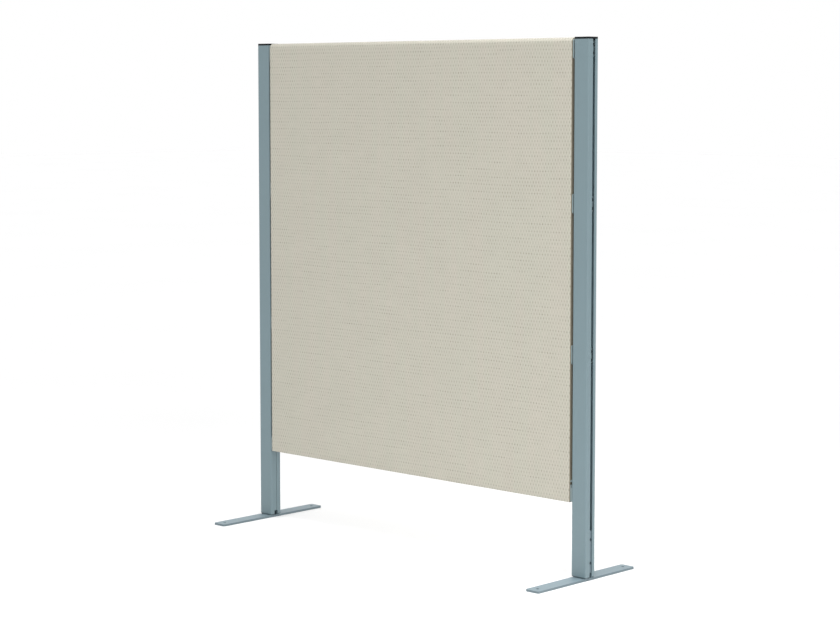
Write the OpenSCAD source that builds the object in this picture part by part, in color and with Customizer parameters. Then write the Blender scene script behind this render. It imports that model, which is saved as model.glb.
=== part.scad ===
// Free-standing room divider. A cloth-covered panel hangs clear of the floor between two slotted
// posts, each clamped on an insert that is screwed to a flat floor bar. Millimetres, +Z up, front
// towards -Y. The origin is on the floor under the middle of the panel.
// Right-hand pieces are drawn in place, and left-hand ones are their mirror images.

/* [Screen] */
// Overall height, floor to the top of the post caps
screen_h = 1400; // [1200:10:1600]
// Distance between the centre lines of the two posts
post_pitch = 1200; // [800:10:1500]
// How far the posts' centre lines lie behind the panel's middle plane
post_back = 7.5; // [6:0.5:9]
// Facets of every round feature
round_facets = 48; // [24:8:96]

/* [Posts] */
// Post width, along the screen
post_w = 47.5; // [42:0.5:56]
// Post depth, front to back
post_d = 38; // [36:0.5:46]
// Outside corner radius of the post
post_r = 3; // [1:0.1:4]
// Corner radius of the chamber inside the post
chamber_r = 1; // [0.4:0.1:2]
// Wall of the post's front, back and outer sides
post_wall = 2; // [1.6:0.1:2.6]
// Wall of the side that faces the panel
inner_wall = 3; // [2.4:0.1:4]
// Width of the slot along the outer side
slot_w = 9.4; // [9:0.1:11]
// How far the slot lies behind the post's centre line
slot_back = 2.5; // [1:0.5:3.5]
// Width of the drill guide groove on the inner side
guide_w = 1.6; // [1:0.1:2]
// Depth of the drill guide groove
guide_depth = 0.8; // [0.4:0.1:1.2]
// Shadow gap between floor bar and post
post_lift = 2.5; // [1:0.5:4]
// Width of the notch at the foot of the inner side
notch_w = 12; // [8:0.5:13]
// Height of the notch above the post's lower end
notch_h = 11; // [8:0.5:14]

/* [Feet] */
// Length of a floor bar, front to back
foot_len = 392; // [360:1:600]
// Width of a floor bar
foot_w = 43.5; // [38:0.5:50]
// Thickness of a floor bar
foot_t = 6; // [5:0.5:10]
// Corner radius of a floor bar
foot_r = 5; // [2:0.5:10]
// Diameter of a floor screw hole
floor_hole_d = 8.5; // [6:0.5:11]
// Distance of a floor screw hole from its end of the bar
floor_hole_inset = 22; // [12:1:40]
// Thread diameter of the screws from the floor bar into the insert
foot_screw_d = 6; // [5:0.5:6.5]
// Head diameter of those screws
foot_screw_head_d = 11.5; // [9:0.5:12]
// Length of those screws
foot_screw_len = 20; // [14:1:25]
// Distance between the two screws of a bar
foot_screw_pitch = 23; // [22:0.5:24]

/* [Inserts] */
// Height of the insert that the post is clamped on
insert_h = 124; // [90:1:160]
// Play between insert and post
insert_play = 0.2; // [0.1:0.05:0.4]
// Height of the lower clamp screw above the floor bar
clamp_rise = 39; // [30:1:42]
// Distance between the two clamp screws
clamp_pitch = 62; // [20:1:70]
// Thread diameter of a clamp screw
clamp_d = 8; // [6:0.5:8.5]
// Length of a clamp screw
clamp_len = 20; // [12:1:24]

/* [Caps] */
// Thickness of a post cap
cap_t = 5.4; // [4:0.2:8]
// Chamfer round the top of a cap
cap_chamfer = 0.6; // [0.2:0.1:1.5]
// Width of a cap's legs
cap_leg_w = 24; // [16:1:28]
// Thickness of a cap's legs
cap_leg_t = 2; // [1.5:0.1:3]
// Length of a cap's legs
cap_leg_h = 14; // [8:1:24]

/* [Panel] */
// Thickness of the covered panel
panel_t = 25; // [24:0.5:28]
// Gap under the panel
floor_gap = 201; // [170:1:260]
// How far the panel's top lies below the top of the caps
panel_drop = 1; // [0:0.5:10]
// Gap between panel and post
side_gap = 6.3; // [5.6:0.1:8]
// Thickness of the cloth
cloth_t = 1.2; // [0.6:0.1:1.6]
// Thickness of a liner board
liner_t = 3; // [2:0.2:3.4]
// Width of a stile
stile_w = 45; // [40:1:70]
// Height of the top rail below its half-round head
top_rail_h = 45; // [36:1:70]
// Height of the bottom rail
bottom_rail_h = 45; // [38:1:50]
// Height of a mid rail
mid_rail_h = 45; // [36:1:70]
// Play round an infill board
infill_play = 0.4; // [0.2:0.1:0.9]
// Diameter of a frame dowel
dowel_d = 8; // [6:0.5:10]
// Length of a frame dowel
dowel_len = 30; // [20:1:36]
// Distance between the two dowels of a joint
dowel_pitch = 22; // [16:1:24]
// Thickness of the strip that holds the hems
hem_strip_t = 1.6; // [1:0.1:2.4]
// Height of the strip and of the hems beside it
hem_h = 10; // [7:0.5:12]
// Room left above the strip in its groove
hem_room = 2; // [0.5:0.5:3]

/* [Brackets] */
// Height of a bracket
bracket_h = 50; // [44:1:60]
// Depth of a bracket, front to back
bracket_d = 27; // [26:0.5:29]
// Thickness of a bracket
bracket_t = 4.2; // [3.8:0.1:5]
// Corner radius of a bracket
bracket_r = 5; // [2:0.5:6]
// How far a bracket lies behind the panel's front face
bracket_setback = 2; // [1:0.5:4]
// Distance of the top brackets' middle below the top of the caps
top_bracket_drop = 30; // [28:1:60]
// Distance of the upper brackets' middle below the top of the caps
upper_bracket_drop = 425; // [340:1:440]
// Distance of the lower brackets' middle above the panel's bottom edge
lower_bracket_rise = 384; // [300:1:400]
// Height of a shoe
shoe_h = 57.5; // [55:0.5:62]
// Distance of a shoe's lower end above the panel's bottom edge
shoe_rise = 0.5; // [0:0.5:3]
// Height of the thick lower part of a shoe
shoe_block_h = 37; // [35:0.5:40]
// Height of the lever notch in the front edge of a shoe
shoe_notch_h = 7; // [4:0.5:8]
// Depth of the lever notch
shoe_notch_depth = 8; // [5:0.5:10]
// Distance of the lever notch's middle below the shoe's top
shoe_notch_drop = 8.5; // [7.5:0.5:10]
// Height of a shoe's locating pin above its lower end
shoe_pin_rise = 20; // [19:0.5:22]
// Diameter of a shoe's locating pin
shoe_pin_d = 8; // [6:0.5:9]
// Length of a shoe's locating pin
shoe_pin_len = 20; // [12:1:24]

/* [Fixings] */
// Thread diameter of the post and shoe screws
post_screw_d = 5; // [4:0.5:5.5]
// Head diameter of a post screw
post_screw_head_d = 8.5; // [7.5:0.1:8.8]
// Head height of a post screw
post_screw_head_h = 5; // [4:0.2:6]
// Distance between the two post screws of a bracket
post_screw_pitch = 22; // [20:1:24]
// How far a post screw's head lies behind the post's outer wall
head_depth = 0.6; // [0.2:0.1:6]
// Height of the blocks inside the posts that the post screws' heads bear on
block_h = 40; // [36:1:42]
// Diameter of a spacer washer
washer_d = 10; // [8:0.5:11]
// Head diameter of a shoe screw
shoe_screw_head_d = 9.2; // [8:0.1:10]
// Shank diameter of a wood screw
wood_screw_d = 4; // [3:0.5:4.5]
// Head diameter of a wood screw
wood_screw_head_d = 8; // [6.5:0.5:8.5]
// Length of a wood screw
wood_screw_len = 30; // [20:1:38]
// Distance between the two wood screws of a bracket
wood_screw_pitch = 24; // [20:1:28]

/* [Hidden] */
// Room round a screw in a plain hole
screw_play = 0.25;
// Room round a screw, dowel or pin in a tight hole
thread_play = 0.05;
// Room left past the tip of a screw, dowel or pin
tip_room = 0.5;
// Overrun of every cut
cut = 1;
// Key sizes, as shares of the screw's thread diameter
key_width_share = 0.6;
key_depth_share = 0.5;
// Length of a wood screw's point, as a share of its shank diameter
point_share = 1.5;

metal_colour = [0.55, 0.64, 0.67];
cap_colour = [0.16, 0.19, 0.21];
cloth_colour = [0.80, 0.78, 0.73];
wood_colour = [0.80, 0.66, 0.46];
board_colour = [0.50, 0.36, 0.24];
core_colour = [0.86, 0.80, 0.66];
steel_colour = [0.40, 0.42, 0.44];
block_colour = [0.50, 0.55, 0.56];

floor_hole_y = foot_len / 2 - floor_hole_inset;

// Post, in its own plan: +X is the outer side
chamber_w = post_w - post_wall - inner_wall;
chamber_d = post_d - 2 * post_wall;
chamber_x = (inner_wall - post_wall) / 2;
post_x = post_pitch / 2;
inner_face = post_x - post_w / 2;
inner_wall_back = inner_face + inner_wall;
slot_y = post_back + slot_back;
post_bottom = foot_t + post_lift;
cap_bottom = screen_h - cap_t;
post_len = cap_bottom - post_bottom;

// Insert
insert_w = chamber_w - 2 * insert_play;
insert_d = chamber_d - 2 * insert_play;
outer_lip = post_x + post_w / 2 - post_wall;
insert_x = outer_lip - insert_w / 2;
tunnel_top = post_bottom + notch_h;
foot_screw_ys = [post_back - foot_screw_pitch / 2, post_back + foot_screw_pitch / 2];
clamp_zs = [foot_t + clamp_rise, foot_t + clamp_rise + clamp_pitch];

// Panel
panel_w = 2 * (inner_face - side_gap);
panel_side = panel_w / 2;
panel_top = screen_h - panel_drop;
spring_z = panel_top - panel_t / 2;
core_side = panel_side - cloth_t;
core_t = panel_t - 2 * cloth_t;
core_bottom = floor_gap + cloth_t;
frame_t = core_t - 2 * liner_t;
groove_w = hem_strip_t + 2 * cloth_t;
hem_top = core_bottom + hem_h;
groove_top = hem_top + hem_room;
stile_foot = core_bottom + bottom_rail_h;
stile_in = core_side - stile_w;
stile_x = core_side - stile_w / 2;
top_rail_bottom = spring_z - top_rail_h;

// Brackets
shoe_bottom = floor_gap + shoe_rise;
shoe_top = shoe_bottom + shoe_h;
lower_z = floor_gap + lower_bracket_rise;
upper_z = screen_h - upper_bracket_drop;
top_z = screen_h - top_bracket_drop;
screwed_zs = [lower_z, upper_z, top_z];
bracket_y = bracket_setback - panel_t / 2 + bracket_d / 2;
bracket_back = panel_side + bracket_t;
spacer_t = side_gap - bracket_t;
shoe_pin_z = shoe_bottom + shoe_pin_rise;
block_len = chamber_w - post_screw_head_h - head_depth;
block_d = chamber_d - 2 * (cap_leg_t + 2 * insert_play);
post_screw_steps = [-post_screw_pitch / 2, post_screw_pitch / 2];
wood_screw_steps = [-wood_screw_pitch / 2, wood_screw_pitch / 2];
dowel_steps = [-dowel_pitch / 2, dowel_pitch / 2];
mid_rail_zs = [lower_z, upper_z];

sides = ["left", "right"];

// Shared shapes

// Puts a right-hand piece on its own side of the screen
module on_side(side) {
    if (side == "right") children();
    else mirror([1, 0, 0]) children();
}

// Flat rounded rectangle round the origin
module rounded_rectangle(w, d, r) {
    square([w - 2 * r, d], center = true);
    square([w, d - 2 * r], center = true);
    for (x = [-1, 1], y = [-1, 1])
        translate([x * (w / 2 - r), y * (d / 2 - r)])
            circle(r = r, $fn = round_facets);
}

// Round bar along +X from the origin
module bar_x(d, len) {
    rotate([0, 90, 0])
        cylinder(d = d, h = len, $fn = round_facets);
}

// Cone along +X from the origin, for countersunk heads and screw points
module cone_x(d_start, d_end, len) {
    rotate([0, 90, 0])
        cylinder(d1 = d_start, d2 = d_end, h = len, $fn = round_facets);
}

// Six-sided key socket along +X from the origin
module key_x(screw_d, len) {
    rotate([0, 90, 0])
        cylinder(d = key_width_share * screw_d, h = len, $fn = 6);
}

// Box between two corners
module box(low, high) {
    translate(low)
        cube(high - low);
}

// Outline drawn in the Y-Z plane and extruded along +X
module along_x(x_start, len) {
    translate([x_start, 0, 0])
        rotate([90, 0, 90])
            linear_extrude(len) children();
}

// Half-round-headed outline of the panel in the Y-Z plane, from a lower edge to the crown
module headed_outline(t, z_low) {
    translate([-t / 2, z_low])
        square([t, spring_z - z_low]);
    intersection() {
        translate([0, spring_z])
            circle(d = t, $fn = 2 * round_facets);
        translate([-t / 2, spring_z])
            square([t, t]);
    }
}

// Feet

module foot_bar(side) {
    color(metal_colour)
    on_side(side)
    translate([post_x, 0, 0])
        difference() {
            linear_extrude(foot_t)
                rounded_rectangle(foot_w, foot_len, foot_r);
            for (y = [-floor_hole_y, floor_hole_y])
                translate([0, y, -cut])
                    cylinder(d = floor_hole_d, h = foot_t + 2 * cut, $fn = round_facets);
            for (y = foot_screw_ys)
                translate([0, y, 0])
                    foot_screw_seat();
        }
}

// Hole and countersink of a foot screw, from the underside up
module foot_screw_seat() {
    translate([0, 0, -cut])
        cylinder(d = foot_screw_d + 2 * screw_play, h = foot_t + 2 * cut, $fn = round_facets);
    foot_screw_head(2 * screw_play);
}

// Countersunk head whose flat lies in the underside of the floor bar, larger all round by room
module foot_screw_head(room) {
    cylinder(d1 = foot_screw_head_d + room, d2 = foot_screw_d + room,
        h = (foot_screw_head_d - foot_screw_d) / 2, $fn = round_facets);
}

module foot_screws() {
    color(steel_colour)
    for (side = sides, y = foot_screw_ys)
        on_side(side)
            translate([post_x, y, 0])
                difference() {
                    union() {
                        foot_screw_head(0);
                        cylinder(d = foot_screw_d, h = foot_screw_len, $fn = round_facets);
                    }
                    translate([0, 0, -cut])
                        cylinder(d = key_width_share * foot_screw_d,
                            h = key_depth_share * foot_screw_d + cut, $fn = 6);
                }
}

// Post inserts

module post_insert(side) {
    color(metal_colour)
    on_side(side)
        difference() {
            translate([insert_x, post_back, foot_t])
                linear_extrude(insert_h)
                    rounded_rectangle(insert_w, insert_d, chamber_r);
            // Tunnel along the screen, level with the notch in the post
            box([inner_face - cut, post_back - notch_w / 2, foot_t - cut],
                [outer_lip + cut, post_back + notch_w / 2, tunnel_top]);
            for (y = foot_screw_ys)
                translate([post_x, y, foot_t - cut])
                    cylinder(d = foot_screw_d + 2 * thread_play,
                        h = foot_screw_len - foot_t + tip_room + cut, $fn = round_facets);
            for (z = clamp_zs)
                translate([inner_face, slot_y, z])
                    bar_x(clamp_d + 2 * thread_play, post_w);
        }
}

module clamp_screws() {
    color(steel_colour)
    for (side = sides, z = clamp_zs)
        on_side(side)
            translate([inner_wall_back, slot_y, z])
                difference() {
                    bar_x(clamp_d, clamp_len);
                    translate([clamp_len - key_depth_share * clamp_d, 0, 0])
                        key_x(clamp_d, key_depth_share * clamp_d + cut);
                }
}

// Posts

// Section of the right-hand post, with its slot towards +X
module post_section() {
    difference() {
        rounded_rectangle(post_w, post_d, post_r);
        translate([chamber_x, 0])
            rounded_rectangle(chamber_w, chamber_d, chamber_r);
        translate([post_w / 2 - post_wall - cut, slot_back - slot_w / 2])
            square([post_wall + 2 * cut, slot_w]);
        translate([-post_w / 2 - cut, slot_back - guide_w / 2])
            square([guide_depth + cut, guide_w]);
    }
}

module post(side) {
    color(metal_colour)
    on_side(side)
        difference() {
            translate([post_x, post_back, post_bottom])
                linear_extrude(post_len)
                    post_section();
            // Notch at the foot of the inner side
            box([inner_face - cut, post_back - notch_w / 2, post_bottom - cut],
                [inner_wall_back + cut, post_back + notch_w / 2, tunnel_top]);
            for (z = screwed_zs, step = post_screw_steps)
                translate([inner_face - cut, slot_y, z + step])
                    bar_x(post_screw_d + 2 * screw_play, inner_wall + 2 * cut);
            for (step = post_screw_steps)
                translate([inner_face - cut, 0, shoe_pin_z + step])
                    bar_x(post_screw_d + 2 * thread_play, inner_wall + 2 * cut);
        }
}

module post_cap(side) {
    color(cap_colour)
    on_side(side)
    translate([post_x, post_back, cap_bottom]) {
        intersection() {
            linear_extrude(cap_t)
                rounded_rectangle(post_w, post_d, post_r);
            rotate([90, 0, 0])
                translate([0, 0, -post_d])
                    linear_extrude(2 * post_d)
                        chamfered_end(post_w);
            rotate([90, 0, 90])
                translate([0, 0, -post_w])
                    linear_extrude(2 * post_w)
                        chamfered_end(post_d);
        }
        for (y = [-1, 1])
            translate([chamber_x, y * (chamber_d / 2 - insert_play - cap_leg_t / 2), -cap_leg_h / 2])
                cube([cap_leg_w, cap_leg_t, cap_leg_h], center = true);
    }
}

// Side view of a cap, with its two top corners cut off
module chamfered_end(w) {
    polygon([
        [-w / 2, 0], [w / 2, 0],
        [w / 2, cap_t - cap_chamfer], [w / 2 - cap_chamfer, cap_t],
        [-w / 2 + cap_chamfer, cap_t], [-w / 2, cap_t - cap_chamfer]
    ]);
}

// Brackets

// Outline of a bracket or shoe in the Y-Z plane, from its lower end up
module bracket_outline(z_low, h) {
    translate([bracket_y, z_low + h / 2])
        rounded_rectangle(bracket_d, h, bracket_r);
}

module bracket(side, z) {
    color(metal_colour)
    on_side(side)
        difference() {
            along_x(panel_side, bracket_t)
                bracket_outline(z - bracket_h / 2, bracket_h);
            for (step = post_screw_steps)
                translate([panel_side - cut, slot_y, z + step])
                    bar_x(post_screw_d + 2 * thread_play, bracket_t + 2 * cut);
            for (step = wood_screw_steps)
                translate([bracket_back, 0, z + step]) {
                    wood_screw_head(2 * screw_play);
                    translate([-bracket_t - cut, 0, 0])
                        bar_x(wood_screw_d + 2 * screw_play, bracket_t + 2 * cut);
                }
        }
}

// Countersunk head whose flat lies at the origin, pointing towards -X, larger all round by room
module wood_screw_head(room) {
    head_h = (wood_screw_head_d - wood_screw_d) / 2;
    translate([-head_h, 0, 0])
        cone_x(wood_screw_d + room, wood_screw_head_d + room, head_h);
}

module bracket_wood_screws() {
    color(steel_colour)
    for (side = sides, z = screwed_zs, step = wood_screw_steps)
        on_side(side)
            translate([bracket_back, 0, z + step])
                wood_screw();
}

// One wood screw, its head's flat at the origin and its point towards -X
module wood_screw() {
    point_len = point_share * wood_screw_d;
    socket_h = key_depth_share * wood_screw_d;
    difference() {
        union() {
            wood_screw_head(0);
            translate([point_len - wood_screw_len, 0, 0])
                bar_x(wood_screw_d, wood_screw_len - point_len);
            translate([-wood_screw_len, 0, 0])
                cone_x(0, wood_screw_d, point_len);
        }
        translate([-socket_h, 0, 0])
            key_x(wood_screw_d, socket_h + cut);
    }
}

module post_screws() {
    color(steel_colour)
    for (side = sides, z = screwed_zs, step = post_screw_steps)
        on_side(side)
            translate([inner_wall_back + block_len, slot_y, z + step])
                post_screw();
}

// One socket-head screw, the underside of its head at the origin and its tip towards -X
module post_screw() {
    shank = block_len + inner_wall + side_gap - thread_play;
    difference() {
        union() {
            bar_x(post_screw_head_d, post_screw_head_h);
            translate([-shank, 0, 0])
                bar_x(post_screw_d, shank);
        }
        translate([post_screw_head_h - key_depth_share * post_screw_d, 0, 0])
            key_x(post_screw_d, key_depth_share * post_screw_d + cut);
    }
}

// Blocks that stiffen the posts at the brackets and carry the screws' heads up to the slot
module screw_blocks() {
    color(block_colour)
    for (side = sides, z = screwed_zs)
        on_side(side)
            difference() {
                box([inner_wall_back, post_back - block_d / 2, z - block_h / 2],
                    [inner_wall_back + block_len, post_back + block_d / 2, z + block_h / 2]);
                for (step = post_screw_steps)
                    translate([inner_wall_back - cut, slot_y, z + step])
                        bar_x(post_screw_d + 2 * screw_play, block_len + 2 * cut);
            }
}

module spacer_washers() {
    color(steel_colour)
    for (side = sides, z = screwed_zs, step = post_screw_steps)
        on_side(side)
            translate([bracket_back, slot_y, z + step])
                difference() {
                    bar_x(washer_d, spacer_t);
                    translate([-cut, 0, 0])
                        bar_x(post_screw_d + 2 * screw_play, spacer_t + 2 * cut);
                }
}

// Bottom bracket: a plate with a thick lower part that fills the gap, a notch in its front edge
// to lever the panel off, and a pin into the panel
module shoe(side) {
    color(metal_colour)
    on_side(side) {
        difference() {
            union() {
                along_x(panel_side, bracket_t)
                    bracket_outline(shoe_bottom, shoe_h);
                along_x(panel_side, side_gap)
                    intersection() {
                        bracket_outline(shoe_bottom, shoe_h);
                        translate([bracket_y - bracket_d / 2, shoe_bottom])
                            square([bracket_d, shoe_block_h]);
                    }
            }
            along_x(panel_side - cut, bracket_t + 2 * cut)
                translate([bracket_y - bracket_d / 2, shoe_top - shoe_notch_drop])
                    notch_outline();
            for (step = post_screw_steps)
                translate([panel_side, 0, shoe_pin_z + step])
                    shoe_screw_seat();
        }
        translate([panel_side - shoe_pin_len, 0, shoe_pin_z])
            bar_x(shoe_pin_d, shoe_pin_len);
    }
}

// Lever notch with a round end, open at the origin
module notch_outline() {
    translate([-cut, -shoe_notch_h / 2])
        square([cut + shoe_notch_depth - shoe_notch_h / 2, shoe_notch_h]);
    translate([shoe_notch_depth - shoe_notch_h / 2, 0])
        circle(d = shoe_notch_h, $fn = round_facets);
}

// Hole and countersink of a shoe screw, from the panel's side towards the post
module shoe_screw_seat() {
    shoe_screw_head(2 * screw_play);
    translate([-cut, 0, 0])
        bar_x(post_screw_d + 2 * screw_play, side_gap + 2 * cut);
}

// Countersunk head whose flat lies at the origin, pointing towards +X, larger all round by room
module shoe_screw_head(room) {
    cone_x(shoe_screw_head_d + room, post_screw_d + room, (shoe_screw_head_d - post_screw_d) / 2);
}

module shoe_screws() {
    color(steel_colour)
    for (side = sides, step = post_screw_steps)
        on_side(side)
            translate([panel_side, 0, shoe_pin_z + step])
                difference() {
                    union() {
                        shoe_screw_head(0);
                        bar_x(post_screw_d, side_gap + inner_wall);
                    }
                    translate([-cut, 0, 0])
                        key_x(post_screw_d, key_depth_share * post_screw_d + cut);
                }
}

// Panel

// Sleeve round front, crown, back and both sides, closed below by two flaps whose hems turn up
module cloth_cover() {
    color(cloth_colour)
    difference() {
        along_x(-panel_side, 2 * panel_side)
            headed_outline(panel_t, floor_gap);
        along_x(-core_side, 2 * core_side)
            difference() {
                headed_outline(core_t, core_bottom);
                translate([-groove_w / 2, core_bottom])
                    square([groove_w, hem_h]);
            }
        // Slit between the two hems, which the strip fills
        box([-core_side, -hem_strip_t / 2, floor_gap - cut],
            [core_side, hem_strip_t / 2, hem_top]);
        for (side = sides)
            on_side(side)
                side_holes(core_side - cut, cloth_t + 2 * cut);
    }
}

// Holes on the right side of the panel for the wood screws and the shoe's pin
module side_holes(x_start, len) {
    for (z = screwed_zs, step = wood_screw_steps)
        translate([x_start, 0, z + step])
            bar_x(wood_screw_d + 2 * thread_play, len);
    translate([x_start, 0, shoe_pin_z])
        bar_x(shoe_pin_d + 2 * thread_play, len);
}

module hem_strip() {
    color(board_colour)
    box([-core_side, -hem_strip_t / 2, core_bottom],
        [core_side, hem_strip_t / 2, hem_top]);
}

module liner(y_low) {
    color(board_colour)
    box([-core_side, y_low, core_bottom],
        [core_side, y_low + liner_t, spring_z]);
}

// Rail with a half-round head over the whole width and a body between the stiles
module top_rail() {
    color(wood_colour)
    difference() {
        union() {
            along_x(-core_side, 2 * core_side)
                intersection() {
                    headed_outline(core_t, top_rail_bottom);
                    translate([-core_t / 2, spring_z])
                        square([core_t, core_t]);
                }
            frame_box(-stile_in, stile_in, top_rail_bottom, spring_z);
        }
        rail_dowel_holes(top_rail_bottom + top_rail_h / 2);
    }
}

// Part of the frame between the liners
module frame_box(x_low, x_high, z_low, z_high) {
    box([x_low, -frame_t / 2, z_low], [x_high, frame_t / 2, z_high]);
}

// Blind holes for the dowels across both joints between a rail and the stiles
module rail_dowel_holes(z) {
    for (side = sides, step = dowel_steps)
        on_side(side)
            translate([stile_in - dowel_len / 2 - tip_room, 0, z + step])
                bar_x(dowel_d + 2 * thread_play, dowel_len + 2 * tip_room);
}

// Blind holes for the dowels between the bottom rail and the feet of the stiles
module stile_dowel_holes() {
    for (side = sides, step = dowel_steps)
        on_side(side)
            translate([stile_x + step, 0, stile_foot - dowel_len / 2 - tip_room])
                cylinder(d = dowel_d + 2 * thread_play, h = dowel_len + 2 * tip_room,
                    $fn = round_facets);
}

module bottom_rail() {
    color(wood_colour)
    difference() {
        frame_box(-core_side, core_side, core_bottom, stile_foot);
        box([-core_side - cut, -groove_w / 2, core_bottom - cut],
            [core_side + cut, groove_w / 2, groove_top]);
        stile_dowel_holes();
        for (side = sides)
            on_side(side)
                translate([panel_side - shoe_pin_len - tip_room, 0, shoe_pin_z])
                    bar_x(shoe_pin_d + 2 * thread_play, shoe_pin_len + cut);
    }
}

module mid_rail(z) {
    color(wood_colour)
    difference() {
        frame_box(-stile_in, stile_in, z - mid_rail_h / 2, z + mid_rail_h / 2);
        rail_dowel_holes(z);
    }
}

module stile(side) {
    color(wood_colour)
    difference() {
        on_side(side)
            difference() {
                frame_box(stile_in, core_side, stile_foot, spring_z);
                for (z = screwed_zs, step = wood_screw_steps)
                    translate([bracket_back - wood_screw_len - tip_room, 0, z + step])
                        bar_x(wood_screw_d + 2 * thread_play, wood_screw_len + cut);
            }
        stile_dowel_holes();
        for (z = mid_rail_zs)
            rail_dowel_holes(z);
        rail_dowel_holes(top_rail_bottom + top_rail_h / 2);
    }
}

module infill(z_low, z_high) {
    color(core_colour)
    frame_box(infill_play - stile_in, stile_in - infill_play, z_low + infill_play,
        z_high - infill_play);
}

module frame_dowels() {
    color(core_colour)
    for (side = sides, step = dowel_steps)
        on_side(side) {
            for (z = [lower_z, upper_z, top_rail_bottom + top_rail_h / 2])
                translate([stile_in - dowel_len / 2, 0, z + step])
                    bar_x(dowel_d, dowel_len);
            translate([stile_x + step, 0, stile_foot - dowel_len / 2])
                cylinder(d = dowel_d, h = dowel_len, $fn = round_facets);
        }
}

foot_bar("left");  // foot_bar_left
foot_bar("right");  // foot_bar_right
foot_screws();
post_insert("left");  // post_insert_left
post_insert("right");  // post_insert_right
clamp_screws();
post("left");  // post_left
post("right");  // post_right
post_cap("left");  // post_cap_left
post_cap("right");  // post_cap_right
bracket("left", top_z);  // bracket_top_left
bracket("right", top_z);  // bracket_top_right
bracket("left", upper_z);  // bracket_upper_left
bracket("right", upper_z);  // bracket_upper_right
bracket("left", lower_z);  // bracket_lower_left
bracket("right", lower_z);  // bracket_lower_right
shoe("left");  // shoe_left
shoe("right");  // shoe_right
post_screws();
screw_blocks();
spacer_washers();
bracket_wood_screws();
shoe_screws();
cloth_cover();
hem_strip();
liner(-core_t / 2);  // front_liner
liner(frame_t / 2);  // back_liner
top_rail();
bottom_rail();
stile("left");  // stile_left
stile("right");  // stile_right
mid_rail(upper_z);  // mid_rail_upper
mid_rail(lower_z);  // mid_rail_lower
infill(upper_z + mid_rail_h / 2, top_rail_bottom);  // infill_top
infill(lower_z + mid_rail_h / 2, upper_z - mid_rail_h / 2);  // infill_middle
infill(stile_foot, lower_z - mid_rail_h / 2);  // infill_bottom
frame_dowels();
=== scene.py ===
# %% [markdown]
# # A cloth-covered screen between two slotted posts
# The metal, plastic and wooden pieces come from the measured model and keep their shapes. This
# lesson gives each of them a finish built from noise and simple sums, sews a new cover of woven
# cloth over the panel's frame, and photographs the screen on a pale floor.

# %% Load the measured model
import math

import bmesh
import bpy
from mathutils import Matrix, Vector, noise


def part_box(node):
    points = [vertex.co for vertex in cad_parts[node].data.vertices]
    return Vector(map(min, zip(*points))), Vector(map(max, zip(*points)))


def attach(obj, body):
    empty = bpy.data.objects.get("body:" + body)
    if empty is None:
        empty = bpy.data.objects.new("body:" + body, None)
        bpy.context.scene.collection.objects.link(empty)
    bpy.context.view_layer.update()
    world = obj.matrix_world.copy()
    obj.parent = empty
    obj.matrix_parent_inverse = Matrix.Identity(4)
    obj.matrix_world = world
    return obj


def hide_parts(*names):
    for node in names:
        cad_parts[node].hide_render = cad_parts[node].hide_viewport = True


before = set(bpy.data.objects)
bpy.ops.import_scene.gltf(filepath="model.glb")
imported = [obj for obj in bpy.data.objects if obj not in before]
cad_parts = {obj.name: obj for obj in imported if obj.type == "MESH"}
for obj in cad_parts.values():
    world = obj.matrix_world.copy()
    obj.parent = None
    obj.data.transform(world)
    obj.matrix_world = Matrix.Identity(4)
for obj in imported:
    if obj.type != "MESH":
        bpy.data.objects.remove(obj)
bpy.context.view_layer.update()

print("pieces in the model:", len(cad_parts))

# %% [markdown]
# ## The camera
# The screen is seen from its right-hand end, from a little below its top edge. The photographer
# held the camera level and took in the feet with a shift lens, so that the posts stay parallel. A
# large shift has a price in a model: it pushes the screen out of the picture when it is looked at
# from another side. So only a small part is shift here, and the rest is a tilt of under five
# degrees. Its price is that the posts lean inwards at the foot by three to four pixels.

# %% Place the camera
picture_w_px = 840
focal_length_px = 2126
drop_px = 50
tilt_down = math.radians(4.715)
turn_left = math.radians(43.673)
sensor_w_mm = 36

camera_data = bpy.data.cameras.new("studio_camera")
camera_data.sensor_width = sensor_w_mm
camera_data.lens = sensor_w_mm * focal_length_px / picture_w_px
camera_data.shift_y = -drop_px / picture_w_px
camera_data.clip_end = 100
camera = bpy.data.objects.new("studio_camera", camera_data)
camera.location = (4.044, -4.212, 1.266)
camera.rotation_euler = (math.radians(90) - tilt_down, 0, turn_left)
bpy.context.scene.collection.objects.link(camera)
bpy.context.scene.camera = camera
print("lens in millimetres:", round(camera_data.lens, 1))

# %% [markdown]
# ## The floor
# A shop picture of such a screen has no visible floor edge. One wide pale sheet under the feet,
# larger than the view, gives the soft contact shadows and reflects light up on the posts, which
# are lighter near the floor in the photograph.

# %% Lay the floor
floor_half = 30
floor_mesh = bpy.data.meshes.new("studio_floor")
floor_mesh.from_pydata(
    [(-floor_half, -floor_half, 0), (floor_half, -floor_half, 0),
     (floor_half, floor_half, 0), (-floor_half, floor_half, 0)],
    [], [(0, 1, 2, 3)])
floor = bpy.data.objects.new("studio_floor", floor_mesh)
bpy.context.scene.collection.objects.link(floor)
print("floor is", 2 * floor_half, "m wide")

# %% [markdown]
# ## The sky
# The photograph has almost no shadow side: the light comes from everywhere. Lamps alone would
# leave dark sides, so an even white sky does most of the work. The plain view transform keeps
# white things white.

# %% Hang the sky
sky = bpy.data.worlds.new("studio_sky")
sky.use_nodes = True
sky_shader = sky.node_tree.nodes["Background"]
sky_shader.inputs["Color"].default_value = (1, 1, 1, 1)
sky_shader.inputs["Strength"].default_value = 1.0
bpy.context.scene.world = sky
bpy.context.scene.view_settings.view_transform = "Standard"
print("sky strength:", sky_shader.inputs["Strength"].default_value)

# %% [markdown]
# ## The bright ceiling
# A little more light comes from above. A very wide, soft light from straight overhead stands for
# the bright ceiling and whitens the floor. A narrow one would draw hard shadows under the floor
# bars, which the photograph does not show.

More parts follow.
